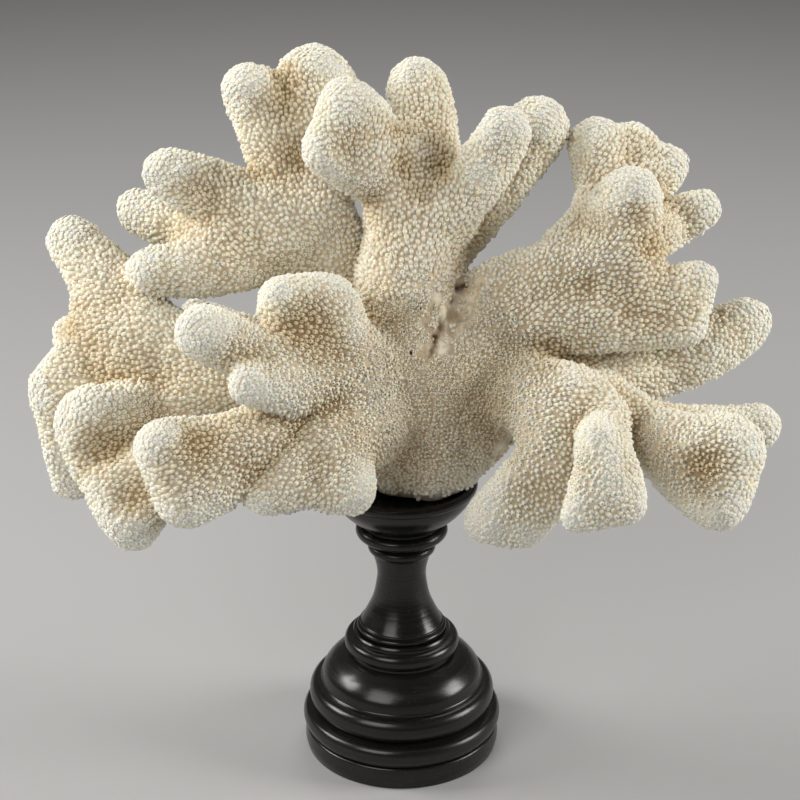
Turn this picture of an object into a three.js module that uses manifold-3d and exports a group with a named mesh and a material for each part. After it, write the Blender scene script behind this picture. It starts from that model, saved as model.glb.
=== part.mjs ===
// A branching stony coral resting in the cup of a black turned wooden stand.
// Millimetres, +Z up, +X to the right and -Y towards the front.
// The origin is the centre of the stand's flat underside.
import * as THREE from "three";
import { ConvexGeometry } from "three/addons/geometries/ConvexGeometry.js";
import { mergeVertices } from "three/addons/utils/BufferGeometryUtils.js";
import Module from "manifold-3d";

const wasm = await Module();
wasm.setup();

// Driving dimensions of the stand.
const FOOT_RADIUS = 39.6;
const BEAD_RADIUS = 22.8;
const STEM_RADIUS = 9.8;
const RIM_RADIUS = 29.8;
const FOOT_TOP = 52;
const STEM_TOP = 93;
const CUP_TOP = 118;
const DISH_DEPTH = 2.5;
const RIM_WIDTH = 3.2;
const TENON_RADIUS = 7;
const TENON_LENGTH = 9;
const LATHE_SIDES = 20;

// The clear space that meeting pieces keep, and the sphere facets of the coral.
const GAP = 0.3;
const FACET = 9;
const CORAL_BASE = CUP_TOP - DISH_DEPTH + GAP;

const group = new THREE.Group();
const ebonised = new THREE.MeshStandardMaterial({
  color: 0x0c0b0b,
  roughness: 0.32,
  metalness: 0,
});
const coralWhite = new THREE.MeshStandardMaterial({
  color: 0xe9e0cd,
  roughness: 0.9,
  metalness: 0,
});

// Adds one named mesh to the group.
function addPiece(name, geometry, material) {
  const mesh = new THREE.Mesh(geometry, material);
  mesh.name = name;
  group.add(mesh);
}

// ---- the turned stand ----

// A round moulding on the profile, from one height to another, bulging out by `bulge`.
function bead(profile, radius, from, to, bulge, steps = 4) {
  const middle = (from + to) / 2;
  const half = (to - from) / 2;
  for (let i = 0; i <= steps; i += 1) {
    const angle = -Math.PI / 2 + (Math.PI * i) / steps;
    profile.push([radius + bulge * Math.cos(angle), middle + half * Math.sin(angle)]);
  }
}

// A smooth curve through a few turned diameters, given as [radius, height].
function sweep(profile, points, steps) {
  const curve = new THREE.SplineCurve(points.map(([r, h]) => new THREE.Vector2(r, h)));
  curve.getPoints(steps).forEach((p) => profile.push([p.x, p.y]));
}

// Turns a profile that starts and ends on the axis, bottom to top.
function turned(profile) {
  const kept = profile.filter(
    ([r, h], i) => i === 0 || Math.hypot(r - profile[i - 1][0], h - profile[i - 1][1]) > 1e-3,
  );
  const lathe = new THREE.LatheGeometry(kept.map(([r, h]) => new THREE.Vector2(r, h)), LATHE_SIDES);
  return lathe.rotateX(Math.PI / 2);
}

function footPiece() {
  const profile = [[0, 0]];
  profile.push([FOOT_RADIUS - 1.4, 0]);
  sweep(profile, [[FOOT_RADIUS - 1, 0.6], [FOOT_RADIUS - 0.2, 4], [FOOT_RADIUS - 0.6, 8.6]], 3);
  profile.push([FOOT_RADIUS - 1.8, 9.2]);
  bead(profile, FOOT_RADIUS - 2, 9.8, 17.8, 2.5, 5);
  profile.push([FOOT_RADIUS - 3.6, 18.6]);
  bead(profile, FOOT_RADIUS - 5.8, 19, 29, 3.6, 5);
  profile.push([33, 29.4]);
  sweep(profile, [[32.8, 30.2], [31.4, 34.4], [28, 38.6], [24, 41.4]], 5);
  profile.push([BEAD_RADIUS - 2, 42.4]);
  bead(profile, BEAD_RADIUS - 2, 43, 49.6, 2.2, 5);
  profile.push([BEAD_RADIUS - 3.4, 50.2]);
  profile.push([BEAD_RADIUS - 3.6, FOOT_TOP]);
  profile.push([TENON_RADIUS + GAP, FOOT_TOP]);
  profile.push([TENON_RADIUS + GAP, FOOT_TOP - TENON_LENGTH - GAP]);
  profile.push([0, FOOT_TOP - TENON_LENGTH - GAP]);
  return turned(profile);
}

function stemPiece() {
  const bottom = FOOT_TOP + GAP;
  const profile = [[0, FOOT_TOP - TENON_LENGTH]];
  profile.push([TENON_RADIUS, FOOT_TOP - TENON_LENGTH]);
  profile.push([TENON_RADIUS, bottom]);
  profile.push([17.2, bottom]);
  bead(profile, 16.8, bottom + 0.2, 55.2, 1.2, 3);
  sweep(profile, [[16.2, 56], [13.6, 61], [11.2, 67], [STEM_RADIUS, 75], [10, 80], [11.4, 85.6]], 9);
  profile.push([11.8, 86.4]);
  bead(profile, 12, 86.8, 90.4, 1.4);
  profile.push([11.4, 91]);
  profile.push([13, STEM_TOP]);
  profile.push([TENON_RADIUS, STEM_TOP]);
  profile.push([TENON_RADIUS, STEM_TOP + TENON_LENGTH]);
  profile.push([0, STEM_TOP + TENON_LENGTH]);
  return turned(profile);
}

function cupPiece() {
  const bottom = STEM_TOP + GAP;
  const floor = CUP_TOP - DISH_DEPTH;
  const profile = [[0, STEM_TOP + TENON_LENGTH + GAP]];
  profile.push([TENON_RADIUS + GAP, STEM_TOP + TENON_LENGTH + GAP]);
  profile.push([TENON_RADIUS + GAP, bottom]);
  profile.push([14.6, bottom]);
  bead(profile, 15.6, bottom + 0.2, 98.6, 2.6);
  profile.push([15.6, 99.2]);
  profile.push([16.6, 100]);
  sweep(profile, [[17.6, 101], [22.4, 104.6], [26.6, 109.6], [28.6, 113.4]], 5);
  bead(profile, RIM_RADIUS - 1.4, 114, CUP_TOP - 0.4, 1.4);
  profile.push([RIM_RADIUS - 2, CUP_TOP]);
  profile.push([RIM_RADIUS - RIM_WIDTH, floor]);
  profile.push([0, floor]);
  return turned(profile);
}

// ---- the coral ----

// Joins solids that overlap.
const joined = (solids) => solids.reduce((a, b) => a.add(b));

function solidOf(geometry) {
  const bare = geometry.clone();
  bare.deleteAttribute("normal");
  bare.deleteAttribute("uv");
  const merged = mergeVertices(bare, 1e-4);
  return new wasm.Manifold(
    new wasm.Mesh({
      numProp: 3,
      vertProperties: merged.attributes.position.array,
      triVerts: new Uint32Array(merged.index.array),
    }),
  );
}

function geometryOf(solid) {
  const mesh = solid.getMesh();
  const geometry = new THREE.BufferGeometry();
  geometry.setAttribute("position", new THREE.BufferAttribute(mesh.vertProperties, 3));
  geometry.setIndex(new THREE.BufferAttribute(mesh.triVerts, 1));
  geometry.computeVertexNormals();
  return geometry;
}

// The points of a sphere, finer when the sphere is large.
function knucklePoints([x, y, z, radius], margin) {
  const detail = THREE.MathUtils.clamp(Math.round(radius / FACET) - 1, 1, 3);
  const sphere = new THREE.IcosahedronGeometry(radius + margin, detail);
  const place = sphere.attributes.position;
  return Array.from({ length: place.count }, (_, i) =>
    new THREE.Vector3().fromBufferAttribute(place, i).add(new THREE.Vector3(x, y, z)),
  );
}

// One limb: each web is the skin stretched over two to four of its knuckles.
function limbSolid({ knuckles, webs }, margin = 0) {
  return joined(
    webs.map((names) => {
      const points = names.flatMap((name) => knucklePoints(knuckles[name], margin));
      return solidOf(new ConvexGeometry(points));
    }),
  );
}

// A cut leaves small chips behind: keeps the largest body.
function largest(solid) {
  return solid.decompose().reduce((a, b) => (b.volume() > a.volume() ? b : a));
}

// Everything below the flat base of the coral.
function belowBase() {
  const size = 400;
  const block = new THREE.BoxGeometry(size, size, size);
  return solidOf(block.translate(0, 0, CORAL_BASE - size / 2));
}

// The room that the coral leaves for the rim of the cup.
function rimClearance() {
  const height = DISH_DEPTH + GAP;
  const outer = RIM_RADIUS + 2;
  const inner = RIM_RADIUS - RIM_WIDTH - GAP;
  const disc = wasm.Manifold.cylinder(height, outer, outer, 3 * LATHE_SIDES);
  const hole = wasm.Manifold.cylinder(height, inner, inner, LATHE_SIDES);
  return disc.subtract(hole).translate([0, 0, CORAL_BASE - GAP]);
}

// Knuckles are [x, y, z, radius] of the round swellings along each limb.
const LIMBS = {
  coral_trunk: {
    knuckles: {
      foot: [7, 0, 131, 24.5],
      heart: [11, 3, 159, 28.6],
      left: [1, 7, 187, 19],
      right: [35, 4, 175, 18],
      back: [8, 18, 162, 24],
      overhang: [36, -4, 142, 9],
    },
    webs: [
      ["foot", "heart"],
      ["heart", "left"],
      ["heart", "right"],
      ["foot", "heart", "back"],
      ["heart", "left", "back"],
      ["heart", "right", "back"],
      ["heart", "foot", "overhang"],
    ],
  },
  coral_upper_centre: {
    knuckles: {
      root: [1, 2, 195, 19],
      neck: [4, 9, 213, 17],
      palm: [-2, 16, 235, 13],
      leftLow: [-28, 4, 248, 9],
      leftTop: [-20, 15, 263, 10.2],
      leftRight: [-10, 17, 253, 9.8],
      centreMid: [9, 40, 245, 12.6],
      centreTip: [6, 49, 261, 12],
      frontMid: [23, 13, 229, 10.6],
      frontTip: [39, 15, 252, 9.6],
      behindRoot: [14, 19, 205, 12],
      behindMid: [37, 40, 226, 12.2],
      behindTip: [52, 47, 246, 12.4],
    },
    webs: [
      ["root", "neck"],
      ["neck", "palm"],
      ["palm", "leftLow", "leftRight"],
      ["leftLow", "leftTop", "leftRight"],
      ["palm", "neck", "centreMid"],
      ["centreMid", "centreTip"],
      ["neck", "frontMid"],
      ["frontMid", "frontTip"],
      ["root", "behindRoot", "neck"],
      ["behindRoot", "behindMid"],
      ["behindMid", "behindTip"],
    ],
  },
  coral_upper_left: {
    knuckles: {
      root: [-20, 20, 188, 14],
      palm: [-32, 20, 214, 16.5],
      secondMid: [-59, 18, 223, 12.5],
      secondTip: [-88, 19, 236, 9.8],
      thirdMid: [-82, 30, 209, 9.5],
      thirdTip: [-103, 38, 215, 8.5],
      fourthMid: [-71, 9, 202, 11],
      fourthTip: [-94, 5, 202, 9],
      fanBase: [-43, 29, 235, 12.5],
      fanLeft: [-57, 37, 262, 11.2],
      fanRight: [-34, 46, 265, 13.6],
      fanEdge: [-26, 51, 261, 9],
    },
    webs: [
      ["root", "palm"],
      ["palm", "secondMid"],
      ["secondMid", "secondTip"],
      ["palm", "fourthMid", "secondMid"],
      ["fourthMid", "fourthTip"],
      ["secondMid", "fourthMid", "thirdMid"],
      ["thirdMid", "thirdTip"],
      ["palm", "fanBase"],
      ["fanBase", "fanLeft"],
      ["fanBase", "fanRight"],
      ["fanBase", "fanEdge", "fanRight"],
    ],
  },
  coral_upper_right: {
    knuckles: {
      root: [37, 2, 184, 16],
      bump: [34, 8, 199.6, 5.6],
      ledge: [25.5, 4, 194, 4.8],
      plateUp: [58, 6, 199.6, 13.6],
      plateLow: [60, -3, 186, 13],
      upMid: [74, 16, 213, 12.1],
      behindNeck: [79, 34, 220, 11],
      behindLeft: [76, 47, 239, 10.6],
      behindMid: [90, 55, 235, 10.2],
      behindRight: [103, 47, 230, 9],
      frontTop: [85, 6, 230, 11.6],
      frontMid: [84, 3, 213, 12],
      smallRoot: [104, 28, 212, 8.6],
      small: [115, 27, 219, 7.7],
      edgeTop: [112, 2, 200, 7],
      edgeLow: [107, -4, 183, 8],
      centre: [93, -2, 192, 9.8],
      lowMid: [78, -5, 185, 9.8],
    },
    webs: [
      ["root", "bump", "ledge"],
      ["root", "bump", "plateUp"],
      ["root", "plateUp", "plateLow"],
      ["plateUp", "upMid"],
      ["upMid", "behindNeck"],
      ["behindNeck", "behindLeft"],
      ["behindNeck", "behindMid"],
      ["behindNeck", "behindRight"],
      ["plateUp", "upMid", "frontMid"],
      ["upMid", "frontMid", "frontTop"],
      ["plateUp", "plateLow", "lowMid", "frontMid"],
      ["frontMid", "centre", "lowMid"],
      ["behindNeck", "smallRoot"],
      ["frontMid", "smallRoot"],
      ["smallRoot", "small"],
      ["centre", "edgeTop", "edgeLow"],
      ["centre", "lowMid", "edgeLow"],
    ],
  },
  coral_right_finger: {
    knuckles: {
      root: [48, -2, 161, 16],
      elbow: [70, 4, 159, 13.4],
      mid: [94, 11, 159, 12.4],
      wide: [116, 17, 166, 12.9],
      tip: [135, 23, 174, 9.8],
    },
    webs: [
      ["root", "elbow"],
      ["elbow", "mid"],
      ["mid", "wide"],
      ["wide", "tip"],
    ],
  },
  coral_front_right: {
    knuckles: {
      root: [46, -14, 160, 15.4],
      fork: [61, -26, 163, 13],
      upper: [56, -33, 156, 12.6],
      mid: [53, -43, 145, 11.2],
      leftTip: [32, -55, 126.5, 9],
      rightTip: [43.5, -56, 125, 8.2],
      right: [56, -48, 135, 8],
      shoulder: [73, -32, 157, 11],
      finRoot: [73, -46, 156, 9],
      finTop: [69, -60, 162.5, 6.8],
      finMid: [71, -66, 152, 9.2],
      finLeft: [61.5, -72, 136.4, 6.2],
      finRight: [80, -69, 140, 6.9],
      finSpur: [79, -64, 148, 5.4],
    },
    webs: [
      ["root", "fork"],
      ["root", "upper", "fork"],
      ["upper", "mid"],
      ["mid", "leftTip", "rightTip", "right"],
      ["fork", "shoulder"],
      ["upper", "shoulder", "right"],
      ["shoulder", "finRoot"],
      ["finRoot", "finTop", "finMid"],
      ["finMid", "finLeft", "finRight"],
      ["finRoot", "finMid", "finRight", "finSpur"],
    ],
  },
  coral_right_low: {
    knuckles: {
      root: [72, -14, 156, 13.4],
      neck: [92, -22, 147.6, 10.6],
      palm: [106, -38, 148, 11.8],
      lobe: [120, -42, 149, 12.8],
      low: [115, -51, 132, 11],
      heel: [104, -40, 136.6, 9.2],
      behindMid: [115, -13, 144, 8.4],
      behindTip: [136, -8, 143, 8.6],
    },
    webs: [
      ["root", "neck"],
      ["neck", "palm", "heel"],
      ["palm", "lobe", "heel"],
      ["heel", "low", "palm"],
      ["palm", "lobe", "low"],
      ["neck", "behindMid"],
      ["behindMid", "behindTip"],
    ],
  },
  coral_front_left: {
    knuckles: {
      root: [-11, -15, 165, 17],
      body: [-27, -28, 177, 14],
      topRight: [-26, -24, 201, 10],
      topLeft: [-43, -30, 202, 9.2],
      side: [-22, -27, 186, 10.6],
      arm: [-54, -41, 187, 8.8],
      left: [-70, -48, 197, 10.4],
      bump: [-53, -58, 182, 8.2],
      bumpRoot: [-38, -46, 175, 9.4],
    },
    webs: [
      ["root", "body", "side"],
      ["body", "topRight", "topLeft", "side"],
      ["body", "arm"],
      ["arm", "left"],
      ["body", "bumpRoot"],
      ["bumpRoot", "bump"],
      ["bumpRoot", "arm", "body"],
    ],
  },
  coral_front_low: {
    knuckles: {
      root: [-11, -24, 151, 15.6],
      body: [-27, -44, 152, 13.4],
      low: [-34, -56, 142, 8.2],
      rightTip: [-18, -57, 140, 9.1],
      leftTip: [-48, -58, 139, 8.3],
    },
    webs: [
      ["root", "body"],
      ["body", "low", "rightTip"],
      ["body", "low", "leftTip"],
    ],
  },
  coral_left_low: {
    knuckles: {
      root: [-28, -28, 160, 12],
      wrist: [-45, -42, 158, 11.8],
      right: [-60, -53, 155, 11.6],
      topLeft: [-85, -60, 158, 10],
      rightLow: [-65, -60, 144, 8.8],
      bottom: [-77, -65, 140, 11],
      heel: [-80, -40, 150, 9.6],
      lobeLeft: [-106, -48, 137, 10],
      lobeBottom: [-98, -55, 127, 11],
      lobeRight: [-91, -48, 134, 9],
    },
    webs: [
      ["root", "wrist"],
      ["wrist", "right"],
      ["right", "topLeft", "bottom"],
      ["right", "rightLow", "bottom"],
      ["right", "heel"],
      ["heel", "lobeLeft", "lobeRight"],
      ["lobeLeft", "lobeBottom", "lobeRight"],
    ],
  },
  coral_left: {
    knuckles: {
      root: [-26, -8, 155, 15],
      body: [-65, -8, 163, 14.6],
      crown: [-96, 1, 175, 15.4],
      flank: [-115.8, 6, 171, 11.8],
      finger: [-113, 18, 192, 12.8],
      fingerTip: [-126, 27, 205, 10.8],
      nub: [-129, 16, 172, 6.8],
      low: [-110, -8, 156, 10],
      side: [-131, -8, 158, 10.4],
      frontRoot: [-91, -17, 154, 11.4],
      front: [-114, -33, 156, 13.8],
      frontLow: [-112, -36, 141, 11],
      rearMid: [-128, -10, 136, 8.4],
      rear: [-127, -9, 119, 7.2],
    },
    webs: [
      ["root", "body"],
      ["body", "crown"],
      ["crown", "flank", "finger"],
      ["finger", "fingerTip"],
      ["flank", "nub"],
      ["flank", "side", "low"],
      ["crown", "flank", "low"],
      ["body", "crown", "low"],
      ["body", "frontRoot"],
      ["frontRoot", "front", "frontLow"],
      ["low", "frontLow"],
      ["side", "rearMid"],
      ["rearMid", "rear"],
    ],
  },
  coral_rear_left: {
    knuckles: {
      root: [-12, 24, 158, 14],
      mid: [-38, 42, 156, 10.4],
      bend: [-62, 50, 157, 9],
      tip: [-84, 54, 165, 7.4],
    },
    webs: [
      ["root", "mid"],
      ["mid", "bend"],
      ["bend", "tip"],
    ],
  },
};

// Each limb is cut back from the ones grown before it, so that they part at the forks.
function addCoral() {
  let grown = belowBase().add(rimClearance());
  for (const [name, limb] of Object.entries(LIMBS)) {
    const solid = largest(limbSolid(limb).subtract(grown));
    addPiece(name, geometryOf(solid), coralWhite);
    grown = grown.add(limbSolid(limb, GAP));
  }
}

addPiece("stand_foot", footPiece(), ebonised);
addPiece("stand_stem", stemPiece(), ebonised);
addPiece("stand_cup", cupPiece(), ebonised);
addCoral();

export default group;
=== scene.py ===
# %% [markdown]
# # Branching coral on a turned stand
# The white skeleton of a stony coral rests in the cup of a small black pedestal. The frame
# holds its limbs as plain solids, parted at the forks. This script grows the real surface over
# them: one fused skeleton, the thousands of small cups that the animals lived in, and a
# smoothly turned stand.

# %% Load the frame
import math
import bmesh
import bpy
import numpy as np
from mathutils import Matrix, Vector, noise
from mathutils.bvhtree import BVHTree


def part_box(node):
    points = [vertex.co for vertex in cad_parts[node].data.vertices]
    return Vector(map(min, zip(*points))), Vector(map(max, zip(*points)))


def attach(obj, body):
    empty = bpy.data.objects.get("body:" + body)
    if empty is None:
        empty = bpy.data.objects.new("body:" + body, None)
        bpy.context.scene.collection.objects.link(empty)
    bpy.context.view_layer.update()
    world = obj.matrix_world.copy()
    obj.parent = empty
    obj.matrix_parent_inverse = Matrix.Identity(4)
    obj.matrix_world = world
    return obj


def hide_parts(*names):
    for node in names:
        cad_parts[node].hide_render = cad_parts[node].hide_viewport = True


MM = 0.001
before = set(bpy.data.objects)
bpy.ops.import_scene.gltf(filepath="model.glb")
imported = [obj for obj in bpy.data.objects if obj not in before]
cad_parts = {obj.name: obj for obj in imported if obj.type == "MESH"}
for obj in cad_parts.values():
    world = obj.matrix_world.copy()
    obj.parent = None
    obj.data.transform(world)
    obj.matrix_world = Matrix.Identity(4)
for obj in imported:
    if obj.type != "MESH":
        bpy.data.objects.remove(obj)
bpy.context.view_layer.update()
CORAL_NODES = sorted(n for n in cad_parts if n.startswith("coral_"))

# %% [markdown]
# ## Camera, floor and light
# The camera looks down on the coral by 23 degrees through a long lens, so the limbs keep their
# true proportions. Two large soft lights stand at the sides. They leave the front a little
# darker and draw a bright rim on both flanks, which shows the roundness of each finger. A
# weaker light fills the front, and another one lifts the back off the floor behind it.

# %% Camera
VIEW_TILT = math.radians(23)
CAMERA_PLACE = (-0.65 * MM, -707 * MM, 451 * MM)
LENS_MM = 90

camera_data = bpy.data.cameras.new("camera")
camera_data.lens = LENS_MM
camera_data.sensor_width = 36
camera = bpy.data.objects.new("camera", camera_data)
camera.location = CAMERA_PLACE
camera.rotation_euler = (math.pi / 2 - VIEW_TILT, 0, 0)
bpy.context.scene.collection.objects.link(camera)
bpy.context.scene.camera = camera
print("camera at", [round(v, 3) for v in camera.location])


# %% Soft lights
LIGHT_COLOR = (1.0, 0.98, 0.94)
LIGHT_TARGET = Vector((0, 0, 160 * MM))
SKY_COLOR = (1.0, 0.95, 0.86, 1)
SKY_STRENGTH = 0.12


def soft_light(name, azimuth, elevation, distance, size, power):
    """A square soft box. Azimuth 0 is at the camera's side and 90 is at the right."""
    a = math.radians(azimuth)
    e = math.radians(elevation)
    away = Vector((math.sin(a) * math.cos(e), -math.cos(a) * math.cos(e), math.sin(e)))
    data = bpy.data.lights.new(name, "AREA")
    data.shape = "SQUARE"
    data.size = size
    data.energy = power
    data.color = LIGHT_COLOR
    light = bpy.data.objects.new(name, data)
    light.location = LIGHT_TARGET + away * distance
    light.rotation_euler = away.to_track_quat("Z", "Y").to_euler()
    light.visible_camera = False
    bpy.context.scene.collection.objects.link(light)
    print(name, power, "W at", [round(v, 2) for v in light.location])


soft_light("left_box", azimuth=-94, elevation=31, distance=1.2, size=0.5, power=11.2)
soft_light("right_box", azimuth=85, elevation=20, distance=1.2, size=0.5, power=11)
soft_light("front_box", azimuth=-34, elevation=34, distance=1.4, size=0.8, power=8.5)
soft_light("back_box", azimuth=172, elevation=55, distance=1.4, size=0.8, power=5)

world = bpy.data.worlds.new("studio")
world.use_nodes = True
sky = world.node_tree.nodes["Background"]
sky.inputs["Color"].default_value = SKY_COLOR
sky.inputs["Strength"].default_value = SKY_STRENGTH
bpy.context.scene.world = world
bpy.context.scene.view_settings.view_transform = "Standard"
print("sky strength:", SKY_STRENGTH)


# %% Pale floor
FLOOR_HALF = 6.0
FLOOR_COLOR = (0.42, 0.42, 0.43, 1)
FLOOR_ROUGHNESS = 0.7


def add_object(name, mesh):
    made = bpy.data.objects.new(name, mesh)
    bpy.context.scene.collection.objects.link(made)
    return made


floor_material = bpy.data.materials.new("pale_floor")
floor_material.use_nodes = True
floor_shader = floor_material.node_tree.nodes["Principled BSDF"]
floor_shader.inputs["Base Color"].default_value = FLOOR_COLOR
floor_shader.inputs["Roughness"].default_value = FLOOR_ROUGHNESS
floor_mesh = bpy.data.meshes.new("floor")
floor_signs = [(-1, -1), (1, -1), (1, 1), (-1, 1)]
floor_corners = [(x * FLOOR_HALF, y * FLOOR_HALF, 0) for x, y in floor_signs]
floor_mesh.from_pydata(floor_corners, [], [(0, 1, 2, 3)])
floor_mesh.materials.append(floor_material)
add_object("floor", floor_mesh)
print("floor:", 2 * FLOOR_HALF, "m across")

# %% [markdown]
# ## One grown skeleton
# The limbs of the frame part at the forks, but the coral grew as one. Copies of the limb solids
# are swollen by a hair so that they meet, joined, and skinned again on a fine grid. A voxel
# remesh was chosen because it gives even points everywhere, which the sculpting below needs.


# %% Join the limbs and skin them again
GRID = 1.5 * MM
SWELL = 0.4 * MM
MERGE_GAP = 1e-6


def swollen_copy(node):
    """A merged copy of a limb's solid, pushed out along its normals."""
    shape = bmesh.new()
    shape.from_mesh(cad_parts[node].data)
    bmesh.ops.remove_doubles(shape, verts=shape.verts, dist=MERGE_GAP)
    shape.normal_update()
    for point in shape.verts:
        point.co += point.normal * SWELL
    return shape


joined = bmesh.new()
for node in CORAL_NODES:
    part = swollen_copy(node)
    part_mesh = bpy.data.meshes.new(node + "_copy")
    part.to_mesh(part_mesh)
    joined.from_mesh(part_mesh)
    bpy.data.meshes.remove(part_mesh)
    part.free()
skeleton_mesh = bpy.data.meshes.new("coral_skeleton")
joined.to_mesh(skeleton_mesh)
joined.free()
skeleton = add_object("coral_skeleton", skeleton_mesh)
skin = skeleton.modifiers.new("skin", "REMESH")
skin.mode = "VOXEL"
skin.voxel_size = GRID


def freeze(piece):
    """Turns a piece and its modifiers into a plain mesh."""
    evaluated = piece.evaluated_get(bpy.context.evaluated_depsgraph_get())
    frozen = bpy.data.meshes.new_from_object(evaluated)
    piece.modifiers.clear()
    piece.data = frozen
    return frozen


skeleton_mesh = freeze(skeleton)
print("skin points:", len(skeleton_mesh.vertices))

# %% [markdown]
# Repeated averaging of neighbouring points melts the flat facets and rounds every fork, as
# living growth does. Plain averaging would also fill the valleys between the fingers, so on
# the limbs a point is held back when it wants to move outwards. Round the heart of the coral,
# where the limbs part, the forks are filled on purpose.


# %% Read and write the points of a mesh
def points_of(mesh):
    places = np.empty(len(mesh.vertices) * 3, np.float32)
    mesh.vertices.foreach_get("co", places)
    return places.reshape(-1, 3).astype(np.float64)


def set_points(mesh, places):
    mesh.vertices.foreach_set("co", places.astype(np.float32).ravel())
    mesh.update()


def normals_of(mesh):
    directions = np.empty(len(mesh.vertices) * 3, np.float32)
    mesh.vertex_normals.foreach_get("vector", directions)
    return directions.reshape(-1, 3).astype(np.float64)


def edges_of(mesh):
    ends = np.empty(len(mesh.edges) * 2, np.int32)
    mesh.edges.foreach_get("vertices", ends)
    return ends.reshape(-1, 2)


# %% Melt the facets
MELT_ROUNDS = 14
VALLEY_KEPT = 0.75
HEART = np.array([12, -4, 160]) * MM
HEART_CORE = 34 * MM
HEART_EDGE = 60 * MM
HEART_ROUNDS = 30
AVERAGING_STEP = 0.5


def averaged(values, ends, rounds):
    """Moves each value towards the mean of its neighbours, again and again."""
    count = len(values)
    degree = np.bincount(ends.ravel(), minlength=count)[:, None]
    for _ in range(rounds):
        total = np.empty_like(values)
        for axis in range(values.shape[1]):
            near = np.bincount(ends[:, 0], values[ends[:, 1], axis], count)
            near += np.bincount(ends[:, 1], values[ends[:, 0], axis], count)
            total[:, axis] = near
        values = values + (total / degree - values) * AVERAGING_STEP
    return values


def eased(value, low, high):
    """0 below low, 1 above high, and a smooth rise between."""
    t = np.clip((value - low) / (high - low), 0, 1)
    return t * t * (3 - 2 * t)


def melted(mesh, ends, rounds, kept):
    """Averages the points of a mesh, but fills its valleys less. Kept is 1 where they stay."""
    for _ in range(rounds):
        places = points_of(mesh)
        normals = normals_of(mesh)
        move = averaged(places, ends, 1) - places
        outward = np.maximum(np.einsum("ij,ij->i", move, normals), 0) * kept
        set_points(mesh, places + move - normals * outward[:, None])


ends = edges_of(skeleton_mesh)
reach = np.linalg.norm(points_of(skeleton_mesh) - HEART, axis=1)
near_heart = 1 - eased(reach, HEART_CORE, HEART_EDGE)
melted(skeleton_mesh, ends, MELT_ROUNDS, VALLEY_KEPT * (1 - near_heart))
places = points_of(skeleton_mesh)
blended = averaged(places, ends, HEART_ROUNDS)
places += (blended - places) * near_heart[:, None]
set_points(skeleton_mesh, places)
print("points melted:", len(places), "near the heart:", int((near_heart > 0.5).sum()))

# %% [markdown]
# Real fingers are never quite smooth: they swell and dip where growth ran faster or slower. Soft
# noise along the surface normals adds those dents, and the old heart of the coral gets a finer
# crust as well. The faces of the broad lobes are a little dished. Each dish is pressed in at a
# listed place, in millimetres.

# %% Noise and soft spots
def noise_at(points, size, seed):
    shift = Vector((seed * 7.3, seed * 3.1, seed * 5.7))
    return np.array([noise.noise(Vector(p) / size + shift) for p in points])


def spot_weight(points, spot, radius):
    """A soft round weight, 1 at the spot and fading past the radius. Both are in millimetres."""
    gap = np.linalg.norm(points - np.array(spot) * MM, axis=1) / (radius * MM)
    return np.exp(-1.4 * gap ** 2)


# %% Dents and dished faces
LUMP_SIZE = 15 * MM
LUMP_DEPTH = 1.6 * MM
DENT_SIZE = 6 * MM
DENT_DEPTH = 0.6 * MM
CRUST_SIZE = 3.4 * MM
CRUST_DEPTH = 0.7 * MM
WORN_CORE = 30 * MM
WORN_EDGE = 56 * MM
# A dish this deep, in millimetres, is fully darkened with stain and painted shade.
FULL_STAIN_AND_SHADE_DEPTH = 3.5

# Each dish is x, y, z, its radius and its depth.
DISHES = [
    (-110, -46, 155, 11, 2.6),
    (-98, -60, 137, 8, 2.2),
    (-71, -66, 162, 9, 1.8),
    (-37, -40, 197, 9, 2.4),
    (-32, -62, 148, 8, 1.4),
    (108, -53, 149, 9, 2.6),
    (-21, -2, 250, 9, 1.6),
    (-1, 14, 255, 7, 2.6),
    (2, 6, 243, 8, 3.0),
    (5, 3, 234, 7, 2.0),
    (16, 13, 238, 6, 2.0),
    (87, -5, 227, 6, 1.4),
    (92, -6, 215, 7, 2.6),
    (68, -12, 202, 9, 2.0),
    (-52, 24, 259, 7, 1.4),
    (-38, 19, 241, 8, 1.6),
    (-75, 8, 232, 9, 1.2),
]

normals = normals_of(skeleton_mesh)
worn = 1 - eased(np.linalg.norm(places - HEART, axis=1), WORN_CORE, WORN_EDGE)
lumps = noise_at(places, LUMP_SIZE, 1) * LUMP_DEPTH + noise_at(places, DENT_SIZE, 2) * DENT_DEPTH
lumps += noise_at(places, CRUST_SIZE, 6) * CRUST_DEPTH * worn
stain_and_shade = np.zeros(len(places))
# Each dish darkens its face with stain and painted shade, the more the deeper it is.
for *spot, radius, depth in DISHES:
    dish = spot_weight(places, spot, radius)
    lumps -= dish * depth * MM
    stain_and_shade = np.maximum(stain_and_shade, dish * depth / FULL_STAIN_AND_SHADE_DEPTH)
print("deepest dent and highest lump:", [round(v / MM, 2) for v in (lumps.min(), lumps.max())], "mm")

# %% [markdown]
# ### The healed crack
# A ragged crack runs down between the stem and the right limb, with a bare hollow on its right
# and a few holes where it gapes. Each is a path or a spot of listed places. The distance from
# the path gives the depth, and noise makes the edge wander, so no line looks drawn.

# %% Press in the crack
BASE_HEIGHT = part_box("coral_trunk")[0].z
CRACK = [(23, 2, 198), (20, -1, 194), (18, -6, 190), (16, -10, 187), (13, -15, 183), (11, -18, 178)]
CRACK_WIDTH = 1.7
CRACK_DEPTH = 3.0
CRACK_WANDER = 1.6
CRACK_LEAST_SHADOW = 0.55
HOLLOW = [(28, 0, 197), (26, -3, 192), (23, -7, 187), (19, -11, 183)]
HOLLOW_WIDTH = 5.2
HOLLOW_DEPTH = 2.2
# Each hole is x, y, z and its radius.
CRACK_HOLES = [(24, 2, 198, 1.4), (13, -15, 183, 1.5), (25, -2, 193, 0.9)]


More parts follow.
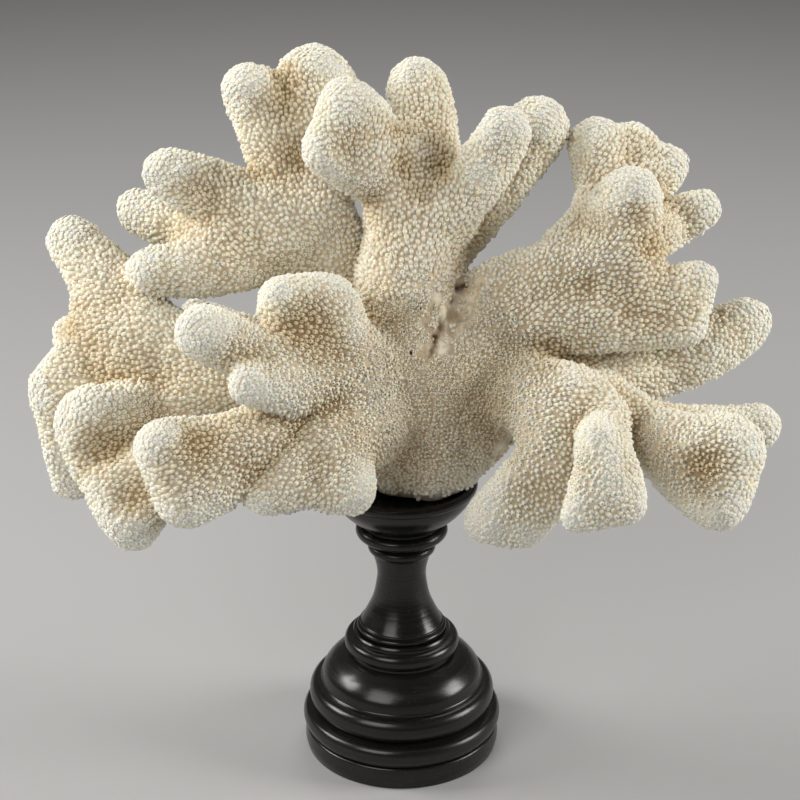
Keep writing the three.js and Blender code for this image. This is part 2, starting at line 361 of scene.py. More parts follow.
def path_distance(points, path):
    """How far each point is from a path of straight stretches, in millimetres."""
    nearest = np.full(len(points), np.inf)
    for start, end in zip(np.array(path), np.array(path)[1:]):
        run = end - start
        t = np.clip((points / MM - start) @ run / (run @ run), 0, 1)
        away = np.linalg.norm(points / MM - start - t[:, None] * run, axis=1)
        nearest = np.minimum(nearest, away)
    return nearest


crack_gap = path_distance(places, CRACK) + noise_at(places, 4 * MM, 7) * CRACK_WANDER
cleft = np.exp(-(crack_gap / CRACK_WIDTH) ** 2)
hollow = np.exp(-(path_distance(places, HOLLOW) / HOLLOW_WIDTH) ** 2)
lumps -= (cleft * CRACK_DEPTH + hollow * HOLLOW_DEPTH) * MM
# The crack is darkened with painted shadow in patches, and the holes below fully.
broken = eased(noise_at(places, 5 * MM, 9), -0.2, 0.3)
cleft *= CRACK_LEAST_SHADOW + (1 - CRACK_LEAST_SHADOW) * broken
for *spot, radius in CRACK_HOLES:
    hole = spot_weight(places, spot, radius)
    lumps -= hole * radius * MM
    cleft = np.maximum(cleft, eased(hole, 0.1, 0.7))
# The crack's painted shadow also darkens the colours of the cups round it.
stain_and_shade = np.maximum(stain_and_shade, cleft)
places = places + normals * lumps[:, None]
places[:, 2] = np.maximum(places[:, 2], BASE_HEIGHT)
set_points(skeleton_mesh, places)
print("points in the crack:", int((cleft > 0.5).sum()))

# %% [markdown]
# A broad comparison with a much smoother copy tells where the surface bulges. Tips and lobe
# edges bulge, and forks and valleys don't. That measure drives the colour and the size of the
# cups: bulging growth is young and clean, and hollows are old and stained, with painted shade
# added in them as well. Slow noise breaks the measure into patches, and the worn heart of the
# coral is stained and shaded more evenly.

# %% Bulge, cleanness and painted shade
BULGE_ROUNDS = 170
BULGE_FULL = 3.2 * MM
PATCH_SIZE = 26 * MM
PATCH_SHARE = 0.9
STAIN_AND_SHADE_SHARE = 1.1
WORN_CLEAN = 0.55
WORN_SHARE = 0.5
WORN_MIX = 0.85

normals = normals_of(skeleton_mesh)
smoother = averaged(places, ends, BULGE_ROUNDS)
bulge = np.einsum("ij,ij->i", places - smoother, normals) / BULGE_FULL
patches = noise_at(places, PATCH_SIZE, 3)
# Low values mean stain plus painted shade in hollows, forks and valleys; high values are clean.
clean_and_unshaded = eased(bulge + PATCH_SHARE * patches - STAIN_AND_SHADE_SHARE * stain_and_shade, -0.9, 0.9)
worn_clean_and_unshaded = WORN_CLEAN + WORN_SHARE * patches - WORN_SHARE * stain_and_shade
clean_and_unshaded = clean_and_unshaded + (worn_clean_and_unshaded - clean_and_unshaded) * worn * WORN_MIX
clean_and_unshaded = np.clip(clean_and_unshaded, 0, 1)
print("bulge percentiles:", np.percentile(bulge, [5, 25, 50, 75, 95]).round(2))
print("clean percentiles:", np.percentile(clean_and_unshaded, [5, 25, 50, 75, 95]).round(2))

# %% [markdown]
# Some places carry few cups or none: the underside that rests in the stand, the band that
# healed over the crack, the hollow and a thin strip beside it, and two rubbed patches low on
# the trunk. One number for each point, bare, tells the scattering where to thin the cups out.

# %% Places without cups
# The strip and the band beside the crack reach this far, in millimetres.
STRIP = [(13, -10, 197), (10, -15, 190), (7, -18, 182)]
STRIP_REACH = 3.6
SCAR_REACH = 4.4
SOFT_EDGE = 2.0
EDGE_WANDER = 3.0
NEARLY_BARE = 0.9
# Each rubbed patch is x, y, z and its radius.
RUBBED_PATCHES = [(42, -12, 141, 5), (39, -13, 136, 6)]
REST_RADIUS = 30 * MM
REST_EDGE = 36 * MM

underside = 1 - eased(places[:, 2], BASE_HEIGHT + 2 * MM, BASE_HEIGHT + 6 * MM)
from_axis = np.hypot(places[:, 0], places[:, 1])
bare = underside * (1 - eased(from_axis, REST_RADIUS, REST_EDGE))
for *spot, radius in RUBBED_PATCHES:
    bare = np.maximum(bare, eased(spot_weight(places, spot, radius), 0.25, 0.45))
band_gap = crack_gap + noise_at(places, 5 * MM, 4) * EDGE_WANDER
bare = np.maximum(bare, 1 - eased(band_gap, SCAR_REACH - SOFT_EDGE, SCAR_REACH))
bare = np.maximum(bare, NEARLY_BARE * eased(hollow, 0.4, 0.65))
strip_gap = path_distance(places, STRIP) + noise_at(places, 5 * MM, 5) * EDGE_WANDER
strip = 1 - eased(strip_gap, STRIP_REACH - SOFT_EDGE, STRIP_REACH)
bare = np.maximum(bare, NEARLY_BARE * strip)
print("bare points:", int((bare > 0.5).sum()), "of", len(bare))

# %% [markdown]
# ## The cups
# Each polyp sat in a small limestone cup, a tube about a millimetre high with a pit in its
# mouth. Tens of thousands cover the limbs, leaning towards the tips. At the tips they are young,
# low and wide, and run together like a honeycomb. On the old trunk they are worn small. Geometry
# Nodes scatter one cup of a few faces over the skeleton. The sizes and the lean of the cups are
# worked out here for each point and stored on the mesh, where the scattering reads them.

# %% Sizes of the cups over the surface
CUP_RADIUS = 0.98 * MM
CUP_HEIGHT = 1.35 * MM
LEAN = 0.95
TIP_STARTS = 0.62
TIP_FULL = 1.25
TIP_WIDENING = 0.3
TIP_LOWERING = 0.7
WORN_LOWERING = 0.3
BELOW_RISING = 0.45
LEAST_STRAY = 0.2
WORN_STRAY = 0.5


def set_values(mesh, name, values):
    """Stores one number or one direction for each point of a mesh."""
    kind = "FLOAT" if values.ndim == 1 else "FLOAT_VECTOR"
    layer = mesh.attributes.new(name, kind, "POINT")
    key = "value" if values.ndim == 1 else "vector"
    layer.data.foreach_set(key, values.astype(np.float32).ravel())


tip = eased(bulge, TIP_STARTS, TIP_FULL)
low_tip = 1 - TIP_LOWERING * tip
from_heart = places - HEART
outward = from_heart / np.linalg.norm(from_heart, axis=1)[:, None]
along = outward - normals * np.einsum("ij,ij->i", outward, normals)[:, None]
growth = normals + along * (LEAN * low_tip)[:, None]
growth /= np.linalg.norm(growth, axis=1)[:, None]
hanging = eased(-normals[:, 2], 0.1, 0.9)
cup_values = {
    "clean_and_unshaded": clean_and_unshaded,
    "bare": bare,
    "cleft": cleft,
    "growth": growth,
    "width": CUP_RADIUS * (1 + TIP_WIDENING * tip),
    "height": CUP_HEIGHT * low_tip * (1 - WORN_LOWERING * worn) * (1 + BELOW_RISING * hanging),
    "stray": LEAST_STRAY + WORN_STRAY * worn,
    "tip": tip,
    "coarse": (1 - eased(worn, 0.45, 0.75)) * (1 - bare),
    "fine": eased(worn, 0.4, 0.7) * (1 - bare),
}
for name, values in cup_values.items():
    set_values(skeleton_mesh, name, values)
print("cup height:", (np.percentile(cup_values["height"], [5, 50, 95]) / MM).round(2), "mm")

# %% [markdown]
# One cup is drawn as a few rings of points from its foot to its mouth, closed by a pit in the
# middle. Its radius and its height are one unit, and its foot is open and sunk in the
# skeleton. Each point carries a level, so that the material can tell the foot, the rim and the
# pit apart.

# %% One cup
CUP_SIDES = 6
# The rings of a cup from its foot to its mouth: radius, height and level.
YOUNG_RINGS = [(1.0, -0.45, 0.0), (0.84, 0.6, 0.75), (0.5, 1.0, 1.0)]
WORN_RINGS = [(1.0, -0.45, 0.0), (0.66, 1.0, 1.0)]
PIT_HEIGHT = 0.35
PIT_LEVEL = -1.0


def cup_mesh(name, rings):
    """A six-sided tube with a pit. Its level is 0 at the foot, 1 at the rim and -1 in the pit."""
    verts, levels, faces = [], [], []
    for radius, rise, level in rings:
        for i in range(CUP_SIDES):
            angle = math.tau * i / CUP_SIDES
            verts.append((radius * math.cos(angle), radius * math.sin(angle), rise))
            levels.append(level)
    pit = len(verts)
    verts.append((0, 0, PIT_HEIGHT))
    levels.append(PIT_LEVEL)
    for low in range(0, pit, CUP_SIDES):
        for i in range(CUP_SIDES):
            here = low + i
            after = low + (i + 1) % CUP_SIDES
            if low + CUP_SIDES < pit:
                faces.append((here, after, after + CUP_SIDES, here + CUP_SIDES))
            else:
                faces.append((here, after, pit))
    mesh = bpy.data.meshes.new(name)
    mesh.from_pydata(verts, [], faces)
    mesh.polygons.foreach_set("use_smooth", [True] * len(faces))
    set_values(mesh, "level", np.array(levels))
    print(name, "faces:", len(faces))
    return mesh


cup_kinds = {
    "young": add_object("young_cup", cup_mesh("young_cup", YOUNG_RINGS)),
    "worn": add_object("worn_cup", cup_mesh("worn_cup", WORN_RINGS)),
}

# %% [markdown]
# Placing thirty thousand cups by hand isn't possible, and a plain grid would look woven. The
# tree below spreads points over the skeleton that keep a distance from each other, as polyps
# do, and puts a cup on each. Its inputs name the skeleton, the cup, the spacing and the seed.


# %% Helpers for the tree
class CupTree:
    """Short calls for building a tree of geometry nodes."""

    def __init__(self, name, inputs):
        self.group = bpy.data.node_groups.new(name, "GeometryNodeTree")
        for label, kind in inputs:
            self.group.interface.new_socket(label, in_out="INPUT", socket_type=kind)
        self.group.interface.new_socket("Cups", in_out="OUTPUT", socket_type="NodeSocketGeometry")
        self.inputs = self.add("NodeGroupInput").outputs
        self.result = self.add("NodeGroupOutput").inputs

    def add(self, kind, **settings):
        node = self.group.nodes.new(kind)
        for name, value in settings.items():
            setattr(node, name, value)
        return node

    def link(self, output, socket):
        self.group.links.new(output, socket)

    def named(self, name, kind="FLOAT"):
        reader = self.add("GeometryNodeInputNamedAttribute", data_type=kind)
        reader.inputs["Name"].default_value = name
        return reader.outputs["Attribute"]

    def random_between(self, low, high, seed, kind="FLOAT"):
        picker = self.add("FunctionNodeRandomValue", data_type=kind)
        picker.inputs["Min"].default_value = low
        picker.inputs["Max"].default_value = high
        picker.inputs["Seed"].default_value = seed
        return picker.outputs["Value"]

    def product(self, *values):
        total = values[0]
        for value in values[1:]:
            times = self.add("ShaderNodeMath", operation="MULTIPLY")
            self.link(total, times.inputs[0])
            self.link(value, times.inputs[1])
            total = times.outputs[0]
        return total


# %% The tree that scatters the cups
TREE_INPUTS = [
    ("Skeleton", "NodeSocketGeometry"),
    ("Cup", "NodeSocketObject"),
    ("Spacing", "NodeSocketFloat"),
    ("Size", "NodeSocketFloat"),
    ("Where", "NodeSocketString"),
    ("Seed", "NodeSocketInt"),
]
CUPS_PER_SQUARE_METRE = 2.5e6
TURN_SEED = 11
WIDTH_SEED = 12
HEIGHT_SEED = 13
STRAY_SEED = 14


def spread_points(tree):
    """Points on the skeleton, apart by Spacing, where the attribute Where allows."""
    where = tree.add("GeometryNodeInputNamedAttribute", data_type="FLOAT")
    tree.link(tree.inputs["Where"], where.inputs["Name"])
    spread = tree.add("GeometryNodeDistributePointsOnFaces", distribute_method="POISSON")
    spread.inputs["Density Max"].default_value = CUPS_PER_SQUARE_METRE
    tree.link(tree.inputs["Skeleton"], spread.inputs["Mesh"])
    tree.link(tree.inputs["Spacing"], spread.inputs["Distance Min"])
    tree.link(tree.inputs["Seed"], spread.inputs["Seed"])
    tree.link(where.outputs["Attribute"], spread.inputs["Density Factor"])
    return spread.outputs["Points"]


def cup_rotation(tree):
    """Turns a cup about itself, leans it along its growth and lets it stray a little."""
    astray = tree.random_between((-1, -1, -1), (1, 1, 1), STRAY_SEED, "FLOAT_VECTOR")
    lean = tree.add("ShaderNodeVectorMath", operation="MULTIPLY_ADD")
    tree.link(astray, lean.inputs[0])
    tree.link(tree.named("stray"), lean.inputs[1])
    tree.link(tree.named("growth", "FLOAT_VECTOR"), lean.inputs[2])
    face_out = tree.add("FunctionNodeAlignRotationToVector", axis="Z")
    tree.link(lean.outputs["Vector"], face_out.inputs["Vector"])
    turn = tree.add("FunctionNodeAxisAngleToRotation")
    turn.inputs["Axis"].default_value = (0, 0, 1)
    tree.link(tree.random_between(0, math.tau, TURN_SEED), turn.inputs["Angle"])
    turned = tree.add("FunctionNodeRotateRotation", rotation_space="LOCAL")
    tree.link(face_out.outputs["Rotation"], turned.inputs["Rotation"])
    tree.link(turn.outputs["Rotation"], turned.inputs["Rotate By"])
    return turned.outputs["Rotation"]


def cup_size(tree):
    """The width and height stored on the skeleton, times Size and a random share."""
    size = tree.inputs["Size"]
    across = tree.product(tree.named("width"), size, tree.random_between(0.82, 1.14, WIDTH_SEED))
    tall = tree.product(tree.named("height"), size, tree.random_between(0.55, 1.4, HEIGHT_SEED))
    scale = tree.add("ShaderNodeCombineXYZ")
    tree.link(across, scale.inputs["X"])
    tree.link(across, scale.inputs["Y"])
    tree.link(tall, scale.inputs["Z"])
    return scale.outputs["Vector"]


def scatter_tree(material):
    """Puts a cup on every point, makes the copies real and gives them the material."""
    tree = CupTree("scatter_cups", TREE_INPUTS)
    shape = tree.add("GeometryNodeObjectInfo")
    tree.link(tree.inputs["Cup"], shape.inputs["Object"])
    place = tree.add("GeometryNodeInstanceOnPoints")
    tree.link(spread_points(tree), place.inputs["Points"])
    tree.link(shape.outputs["Geometry"], place.inputs["Instance"])
    tree.link(cup_rotation(tree), place.inputs["Rotation"])
    tree.link(cup_size(tree), place.inputs["Scale"])
    real = tree.add("GeometryNodeRealizeInstances")
    tree.link(place.outputs["Instances"], real.inputs["Geometry"])
    finish = tree.add("GeometryNodeSetMaterial")
    finish.inputs["Material"].default_value = material
    tree.link(real.outputs["Geometry"], finish.inputs["Geometry"])
    tree.link(finish.outputs["Geometry"], tree.result["Cups"])
    return tree.group


# %% [markdown]
# ## Coral limestone
# Clean coral skeleton is a warm, chalky white. The rims of the cups catch the light and are the
# whitest, the spaces between them hold old tan stain and painted shade, and each pit is a brown
# dot of stain and painted shadow. Tips are bleached, and valleys are darker with stain and
# painted shade, so every colour is a mix that follows the numbers stored on the mesh. A little
# subsurface light softens it, as it does in real limestone.


# %% Helpers for materials
class Shading:
    """Short calls for building a material's nodes."""

    def __init__(self, name):
        self.material = bpy.data.materials.new(name)
        self.material.use_nodes = True
        self.nodes = self.material.node_tree.nodes
        self.links = self.material.node_tree.links
        self.shader = self.nodes["Principled BSDF"]
        self.place = self.nodes.new("ShaderNodeTexCoord").outputs["Object"]

    def attribute(self, name):
        node = self.nodes.new("ShaderNodeAttribute")
        node.attribute_name = name
        return node.outputs["Fac"]

    def noise(self, scale, detail=3, roughness=0.5, stretch=(1, 1, 1)):
        mapping = self.nodes.new("ShaderNodeMapping")
        mapping.inputs["Scale"].default_value = stretch
        self.links.new(self.place, mapping.inputs["Vector"])
        node = self.nodes.new("ShaderNodeTexNoise")
        node.inputs["Scale"].default_value = scale
        node.inputs["Detail"].default_value = detail
        node.inputs["Roughness"].default_value = roughness
        self.links.new(mapping.outputs["Vector"], node.inputs["Vector"])
        return node.outputs["Fac"]

    def near(self, spot, radius):
        """1 within the radius of a place given in millimetres, ragged at its edge, and 0 outside."""
        node = self.nodes.new("ShaderNodeVectorMath")
        node.operation = "DISTANCE"
        self.links.new(self.place, node.inputs[0])
        node.inputs[1].default_value = [v * MM for v in spot]
        ragged = self.math("MULTIPLY", self.noise(700, detail=2), 1.2 * radius * MM)
        away = self.math("ADD", node.outputs["Value"], ragged)
        return self.remap(away, 1.8 * radius * MM, 1.4 * radius * MM)

    def math(self, operation, a, b=0.0):
        node = self.nodes.new("ShaderNodeMath")
        node.operation = operation
        for socket, value in zip(node.inputs, (a, b)):
            if isinstance(value, (int, float)):
                socket.default_value = value
            else:
                self.links.new(value, socket)
        return node.outputs[0]

    def remap(self, value, low, high, out_low=0.0, out_high=1.0):
        node = self.nodes.new("ShaderNodeMapRange")
        node.interpolation_type = "SMOOTHSTEP"
        self.links.new(value, node.inputs["Value"])
        node.inputs["From Min"].default_value = low
        node.inputs["From Max"].default_value = high
        node.inputs["To Min"].default_value = out_low
        node.inputs["To Max"].default_value = out_high
        return node.outputs["Result"]

    def mix(self, factor, a, b):
        node = self.nodes.new("ShaderNodeMix")
        node.data_type = "RGBA"
        for socket, value in ((node.inputs[0], factor), (node.inputs[6], a), (node.inputs[7], b)):
            if isinstance(value, (int, float, tuple)):
                socket.default_value = value
            else:
                self.links.new(value, socket)
        return node.outputs[2]

    def color(self, value):
        self.links.new(value, self.shader.inputs["Base Color"])

    def roughness(self, value):
        self.links.new(value, self.shader.inputs["Roughness"])

    def bump(self, height, distance, strength=1.0):
        node = self.nodes.new("ShaderNodeBump")
        node.inputs["Distance"].default_value = distance
        node.inputs["Strength"].default_value = strength
        self.links.new(height, node.inputs["Height"])
        self.links.new(node.outputs["Normal"], self.shader.inputs["Normal"])


# %% Coral material
# Gap and pit colours are stain plus painted shade between the cups and painted shadow in pits.
STAINED_SHADED_GAP = (0.42, 0.30, 0.175, 1)
CLEAN_SHADED_GAP = (0.75, 0.645, 0.48, 1)
TIP_SHADED_GAP = (0.88, 0.82, 0.69, 1)
STAINED_SHADED_RIM = (0.72, 0.605, 0.41, 1)
CLEAN_RIM = (0.94, 0.895, 0.765, 1)
STAINED_PIT_SHADOW = (0.17, 0.10, 0.045, 1)
CLEAN_PIT_SHADOW = (0.42, 0.31, 0.19, 1)
TIP_PIT_SHADOW = (0.60, 0.50, 0.36, 1)
SPECK = (0.55, 0.40, 0.22, 1)
DARK_PLATE = (0.44, 0.35, 0.235, 1)
PALE_PLATE = (0.84, 0.78, 0.64, 1)
CRACK_SHADOW = (0.13, 0.075, 0.035, 1)
BORING_SHADOW = (0.10, 0.045, 0.015, 1)
CORAL_ROUGHNESS = 0.86
CORAL_GLOSS = 0.3
GLOW_SHARE = 0.55
GLOW_DEPTH = 1.6 * MM
GLOW_BY_COLOR = (1.0, 0.7, 0.4)
GRAIN_DEPTH = 0.35 * MM

# Small borings in the trunk, painted as spots of shadow: the place and the radius in millimetres.
BORINGS = [
    ((3.2, -19, 178), 0.9),
    ((3.8, -19, 176.6), 0.6),
    ((7, -15, 194), 0.5),
    ((1, -16, 185), 0.45),
]


def cup_color_and_shade(look):
    """White rims; gaps and pits dark with stain and painted shade; all paler when clean or at tips.
    """
    level = look.attribute("level")
    clean_and_unshaded_share = look.attribute("clean_and_unshaded")
    tip_share = look.attribute("tip")
    gap = look.mix(clean_and_unshaded_share, STAINED_SHADED_GAP, CLEAN_SHADED_GAP)
    gap = look.mix(tip_share, gap, TIP_SHADED_GAP)
    rim = look.mix(clean_and_unshaded_share, STAINED_SHADED_RIM, CLEAN_RIM)
    pit = look.mix(clean_and_unshaded_share, STAINED_PIT_SHADOW, CLEAN_PIT_SHADOW)
    pit = look.mix(tip_share, pit, TIP_PIT_SHADOW)
    # Painted shade darkens each cup from the rim down to its foot, and painted shadow fills its pit.
    surface = look.mix(look.remap(level, 0.0, 0.8), gap, rim)
    return look.mix(look.remap(level, 0.15, -0.55), surface, pit)


def coral_material():
    look = Shading("coral_limestone")
    specks = look.remap(look.noise(420, detail=2), 0.62, 0.8, 0, 0.25)
    color = look.mix(specks, cup_color_and_shade(look), SPECK)
    plates = look.noise(190, detail=5, roughness=0.65, stretch=(1, 1, 0.45))
    scar = look.mix(look.remap(plates, 0.35, 0.65), DARK_PLATE, PALE_PLATE)
    color = look.mix(look.attribute("bare"), color, scar)
    # Painted shadow darkens the crack and its holes.
    color = look.mix(look.remap(look.attribute("cleft"), 0.15, 0.9), color, CRACK_SHADOW)
    # Each boring is a spot of painted shadow; the mesh has no hole there.
    for spot, radius in BORINGS:
        color = look.mix(look.near(spot, radius), color, BORING_SHADOW)
    look.color(color)
    look.shader.inputs["Roughness"].default_value = CORAL_ROUGHNESS
    look.shader.inputs["Specular IOR Level"].default_value = CORAL_GLOSS
    look.shader.inputs["Subsurface Weight"].default_value = GLOW_SHARE
    look.shader.inputs["Subsurface Radius"].default_value = GLOW_BY_COLOR
    look.shader.inputs["Subsurface Scale"].default_value = GLOW_DEPTH
    fine_grain = look.noise(900, detail=3, roughness=0.6)
    grain = look.math("ADD", fine_grain, look.math("MULTIPLY", plates, 1.5))
    look.bump(grain, GRAIN_DEPTH, 0.9)
    print(look.material.name, "nodes:", len(look.nodes))
    return look.material


limestone = coral_material()
skeleton_mesh.materials.clear()
skeleton_mesh.materials.append(limestone)
skeleton_mesh.polygons.foreach_set("use_smooth", [True] * len(skeleton_mesh.polygons))

# %% [markdown]
# The tree runs twice: once for the tall cups on the limbs, and once for the small worn ones on
# the old heart, closer together. Each run is turned into a plain mesh, and its modifier is
# taken off again.


# %% Scatter the cups
CUP_SPACING = 1.64 * MM
FINE_SPACING = 1.15 * MM
FINE_SIZE = 0.86


def scattered(tree, kind, where, spacing, size, seed):
    """Runs the tree on the skeleton and gives the cups as one mesh."""
    grower = skeleton.modifiers.new("cups", "NODES")
    grower.node_group = tree
    values = {"Cup": cup_kinds[kind], "Where": where, "Spacing": spacing, "Size": size, "Seed": seed}
    for item in tree.interface.items_tree:
        if item.in_out == "INPUT" and item.name in values:
            grower[item.identifier] = values[item.name]
    evaluated = skeleton.evaluated_get(bpy.context.evaluated_depsgraph_get())
    mesh = bpy.data.meshes.new_from_object(evaluated)
    skeleton.modifiers.remove(grower)
    return mesh


tree = scatter_tree(limestone)
crops = {
    "young": scattered(tree, "young", "coarse", CUP_SPACING, 1.0, 5),
    "worn": scattered(tree, "worn", "fine", FINE_SPACING, FINE_SIZE, 6),
}
for kind, mesh in crops.items():
    print(kind, "cups:", len(mesh.vertices) // len(cup_kinds[kind].data.vertices))


# %% [markdown]
# The cups are shared out by the limb they sit on, so that each limb carries its own piece of
# cup mesh. Every cup of one kind has the same points and faces in the same order, so a cup is
# a block of points, and sharing out is a matter of picking blocks.

# %% Find the limb of a place
def limb_finder():
    """Gives the number of the limb whose solid is nearest to a place."""
    corners_found, faces_found, owner = [], [], []
    for number, node in enumerate(CORAL_NODES):
        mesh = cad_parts[node].data
        start = len(corners_found)
        corners_found.extend(v.co.copy() for v in mesh.vertices)
        faces_found.extend(tuple(start + i for i in p.vertices) for p in mesh.polygons)
        owner.extend([number] * len(mesh.polygons))
    lookup = BVHTree.FromPolygons(corners_found, faces_found)
    return lambda place: owner[lookup.find_nearest(place)[2]]


# %% Build one limb's cups
CUP_VALUES = ("level", "clean_and_unshaded", "tip")


def values_of(mesh, name):
    layer = mesh.attributes[name]
    values = np.empty(len(layer.data), np.float32)
    layer.data.foreach_get("value", values)
    return values


def cups_piece(name, parts):
    """Builds one mesh from blocks of cups. Parts is a list of (kind, chosen cup numbers)."""
    spots, corners_used, face_sizes = [], [], []
    extras = {key: [] for key in CUP_VALUES}
    filled = 0
    for kind, chosen in parts:
        pattern = [np.array(p.vertices) for p in cup_kinds[kind].data.polygons]
        points_each = len(cup_kinds[kind].data.vertices)
        blocks = points_of(crops[kind]).reshape(-1, points_each, 3)[chosen]
        offsets = filled + np.arange(len(chosen)) * points_each
        corners_used.append((offsets[:, None] + np.concatenate(pattern)[None, :]).ravel())
        face_sizes.append(np.tile([len(p) for p in pattern], len(chosen)))
        spots.append(blocks.reshape(-1, 3))
        filled += len(chosen) * points_each
        for key in CUP_VALUES:
            values = values_of(crops[kind], key).reshape(-1, points_each)
            extras[key].append(values[chosen].ravel())
    spots, corners_used, face_sizes = map(np.concatenate, (spots, corners_used, face_sizes))
    made = bpy.data.meshes.new(name)
    made.vertices.add(len(spots))
    made.vertices.foreach_set("co", spots.astype(np.float32).ravel())
    made.loops.add(len(corners_used))
    made.loops.foreach_set("vertex_index", corners_used.astype(np.int32))
    made.polygons.add(len(face_sizes))
    made.polygons.foreach_set("loop_start", (np.cumsum(face_sizes) - face_sizes).astype(np.int32))
    made.polygons.foreach_set("use_smooth", np.ones(len(face_sizes), bool))
    made.update(calc_edges=True)
    for key, values in extras.items():
        set_values(made, key, np.concatenate(values))
    made.materials.append(limestone)
    return add_object(name, made)


# %% Share the cups out by limb
find_limb = limb_finder()
shares = {number: [] for number in range(len(CORAL_NODES))}
for kind, mesh in crops.items():
    points_each = len(cup_kinds[kind].data.vertices)
    centres = points_of(mesh).reshape(-1, points_each, 3).mean(axis=1)
    owners = np.array([find_limb(Vector(c)) for c in centres])
    for number in shares:
        shares[number].append((kind, np.flatnonzero(owners == number)))
cup_pieces = []
for number, node in enumerate(CORAL_NODES):
    piece = cups_piece(node.replace("coral_", "cups_"), shares[number])
    piece.data.calc_loop_triangles()
    cup_pieces.append(piece)
    print(piece.name, "triangles:", len(piece.data.loop_triangles))
print("all cups:", sum(len(p.data.loop_triangles) for p in cup_pieces), "triangles")
for cup in cup_kinds.values():
    bpy.data.objects.remove(cup)

# %% [markdown]
# ## The turned stand
# The pedestal was turned on a lathe from three blocks: a foot, a waisted stem and a cup. Each
# profile is drawn from bottom to top as beads and soft sweeps and spun round the axis, which is
# what the lathe did. Many sides keep the outlines round where they catch the light.


# %% Beads and sweeps
def bead(profile, radius, low, high, bulge_out, steps=16):
    """A round moulding that swells by bulge_out between two heights."""
    for i in range(steps + 1):
        angle = -math.pi / 2 + math.pi * i / steps
        middle, half = (low + high) / 2, (high - low) / 2
        profile.append((radius + bulge_out * math.cos(angle), middle + half * math.sin(angle)))


def sweep(profile, spots, steps=8):
    """A smooth curve through a few (radius, height) spots."""
    padded = [spots[0], *spots, spots[-1]]
    for k in range(1, len(padded) - 2):
        before, start, end, after = (np.array(p) for p in padded[k - 1:k + 3])
        for i in range(steps + (k == len(padded) - 3)):
            t = i / steps
            bend = 2 * start + (end - before) * t + (2 * before - 5 * start + 4 * end - after) * t * t
            bend = bend + (3 * start - before - 3 * end + after) * t ** 3
            profile.append(tuple(bend / 2))


# %% Spin a profile
TURN_SIDES = 144
ON_AXIS = 1e-4
SHARP_ANGLE = math.radians(50)


def turned_piece(name, profile):
    """Spins a profile of (radius, height) in mm that starts and ends on the axis."""
    shape = bmesh.new()
    rings = []
    for radius, level in profile:
        if radius < ON_AXIS:
            rings.append([shape.verts.new((0, 0, level * MM))])
            continue
        ring = []
        for i in range(TURN_SIDES):
            angle = math.tau * i / TURN_SIDES
            spot = (radius * MM * math.cos(angle), radius * MM * math.sin(angle), level * MM)
            ring.append(shape.verts.new(spot))
        rings.append(ring)
    for low, high in zip(rings, rings[1:]):
        for i in range(TURN_SIDES):
            j = (i + 1) % TURN_SIDES
            below = [low[i % len(low)], low[j % len(low)]]
            above = [high[j % len(high)], high[i % len(high)]]
            unique = list(dict.fromkeys(below + above))
            if len(unique) > 2:
                shape.faces.new(unique)
    bmesh.ops.recalc_face_normals(shape, faces=shape.faces)
    mesh = bpy.data.meshes.new(name)
    shape.to_mesh(mesh)
    shape.free()
    mesh.polygons.foreach_set("use_smooth", [True] * len(mesh.polygons))
    mesh.set_sharp_from_angle(angle=SHARP_ANGLE)
    print(name, "faces:", len(mesh.polygons))
    return add_object(name, mesh)


# %% Foot, stem and cup
# Radii and heights in millimetres.
FOOT_RADIUS = 39.6
BEAD_RADIUS = 22.8
STEM_RADIUS = 9.8
RIM_RADIUS = 29.8
FOOT_TOP = 52.0
STEM_TOP = 93.0
CUP_TOP = 118.0
DISH_DEPTH = 2.5
JOINT_GAP = 0.1


def foot_profile():
    profile = [(0, 0), (FOOT_RADIUS - 1.4, 0)]
    sweep(profile, [(FOOT_RADIUS - 1, 0.3), (FOOT_RADIUS - 0.2, 4), (FOOT_RADIUS - 0.6, 8.6)])
    profile.append((FOOT_RADIUS - 1.0, 9.1))
    profile.append((FOOT_RADIUS - 1.9, 9.3))
    bead(profile, FOOT_RADIUS - 2, 9.8, 17.8, 2.5)
    profile.append((FOOT_RADIUS - 3.6, 18.4))
    bead(profile, FOOT_RADIUS - 5.8, 18.9, 29, 3.6)
    profile += [(33.3, 29.1), (33.4, 29.5), (33.0, 29.8)]
    sweep(profile, [(32.6, 30.1), (31.4, 34.4), (28, 38.6), (24, 41.4)])
    profile += [(21.0, 42.0), (20.8, 42.7)]
    bead(profile, BEAD_RADIUS - 2, 43, 49.6, 2.2)
    profile += [(19.6, 49.9), (19.4, 50.5), (19.6, 51.4), (19.1, FOOT_TOP), (0, FOOT_TOP)]
    return profile


def stem_profile():
    low = FOOT_TOP + JOINT_GAP
    profile = [(0, low), (17.4, low)]
    bead(profile, 16.9, low + 0.2, 54.4, 1.0, steps=8)
    profile.append((16.9, 54.7))
    bead(profile, 16.5, 54.8, 55.6, 0.4, steps=6)
    sweep(profile, [(16.2, 56), (13.6, 61), (11.2, 67), (STEM_RADIUS, 75), (10, 80), (11.4, 85.6)])
    profile.append((11.7, 86.3))
    bead(profile, 12, 86.8, 90.4, 1.4, steps=10)
    profile += [(11.6, 90.8), (12.4, 92), (13, STEM_TOP), (0, STEM_TOP)]
    return profile


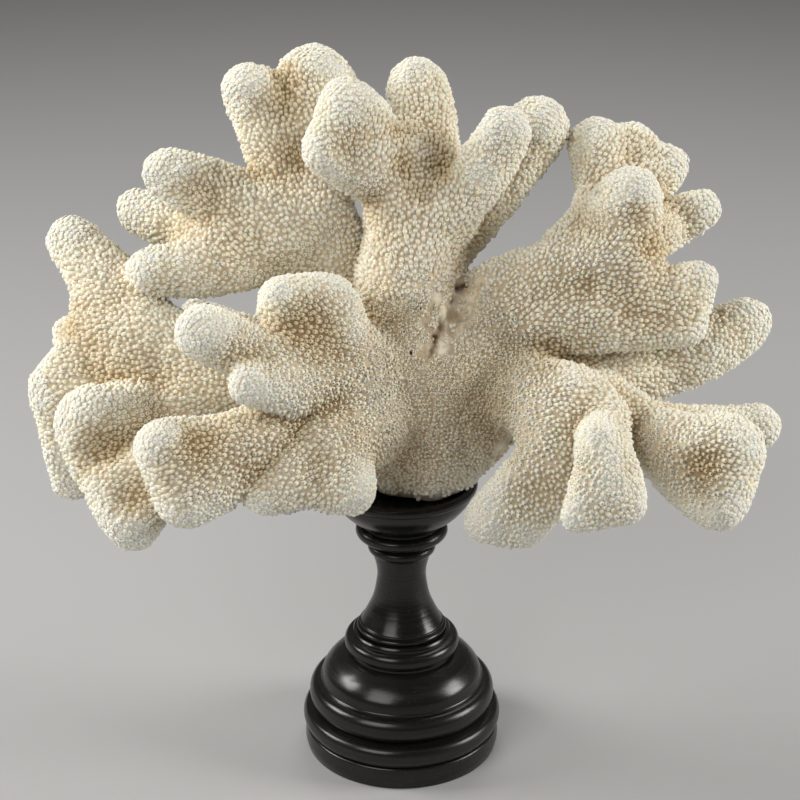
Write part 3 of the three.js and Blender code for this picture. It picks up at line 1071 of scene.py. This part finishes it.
def cup_profile():
    low = STEM_TOP + JOINT_GAP
    profile = [(0, low), (14.6, low)]
    bead(profile, 15.6, low + 0.3, 98.6, 2.6)
    profile += [(15.5, 98.9), (15.6, 99.3), (16.6, 99.5), (16.8, 100.2)]
    sweep(profile, [(17.6, 101), (22.4, 104.6), (26.6, 109.6), (28.4, 113.4)])
    bead(profile, RIM_RADIUS - 1.5, 113.9, CUP_TOP - 0.2, 1.5, steps=10)
    profile += [(RIM_RADIUS - 2, CUP_TOP), (RIM_RADIUS - 2.4, CUP_TOP - 0.3)]
    profile += [(RIM_RADIUS - 3.2, CUP_TOP - DISH_DEPTH), (0, CUP_TOP - DISH_DEPTH)]
    return profile


stand_pieces = {
    "stand_foot": turned_piece("turned_foot", foot_profile()),
    "stand_stem": turned_piece("turned_stem", stem_profile()),
    "stand_cup": turned_piece("turned_cup", cup_profile()),
}

# %% [markdown]
# ## Ebonised wood
# The wood was stained black and waxed to a satin shine. The lathe left faint rings, the wax is
# a little uneven, and dust lies on it in pale specks. Rings are noise that changes quickly with
# height and hardly at all round the piece.


# %% Black wood material
DEEP_BLACK = (0.004, 0.0038, 0.0035, 1)
RING_BLACK = (0.009, 0.0085, 0.008, 1)
DUST = (0.16, 0.15, 0.14, 1)
WOOD_GLOSS = 0.4
RING_DEPTH = 0.06 * MM


def ebonised_material():
    look = Shading("ebonised_wood")
    rings = look.noise(60, detail=4, roughness=0.6, stretch=(0.3, 0.3, 18))
    pores = look.noise(300, detail=2, stretch=(4, 4, 0.35))
    wax = look.noise(26, detail=3)
    dust = look.noise(1500, detail=1)
    black = look.mix(look.remap(rings, 0.3, 0.7), DEEP_BLACK, RING_BLACK)
    look.color(look.mix(look.remap(dust, 0.74, 0.8, 0, 0.5), black, DUST))
    waxed = look.remap(wax, 0.3, 0.7, 0.19, 0.29)
    scuffed = look.remap(rings, 0.4, 0.7, 0.0, 0.05)
    look.roughness(look.math("ADD", waxed, scuffed))
    look.shader.inputs["Specular IOR Level"].default_value = WOOD_GLOSS
    relief = look.math("ADD", rings, look.math("MULTIPLY", pores, 0.5))
    look.bump(relief, RING_DEPTH, 0.5)
    print(look.material.name, "nodes:", len(look.nodes))
    return look.material


ebonised = ebonised_material()
for node, piece in stand_pieces.items():
    piece.data.materials.append(ebonised)
    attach(piece, "root")
    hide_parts(node)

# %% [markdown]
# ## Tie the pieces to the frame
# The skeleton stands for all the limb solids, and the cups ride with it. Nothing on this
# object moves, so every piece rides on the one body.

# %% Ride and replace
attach(skeleton, "root")
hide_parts(*CORAL_NODES)
for piece in cup_pieces:
    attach(piece, "root")
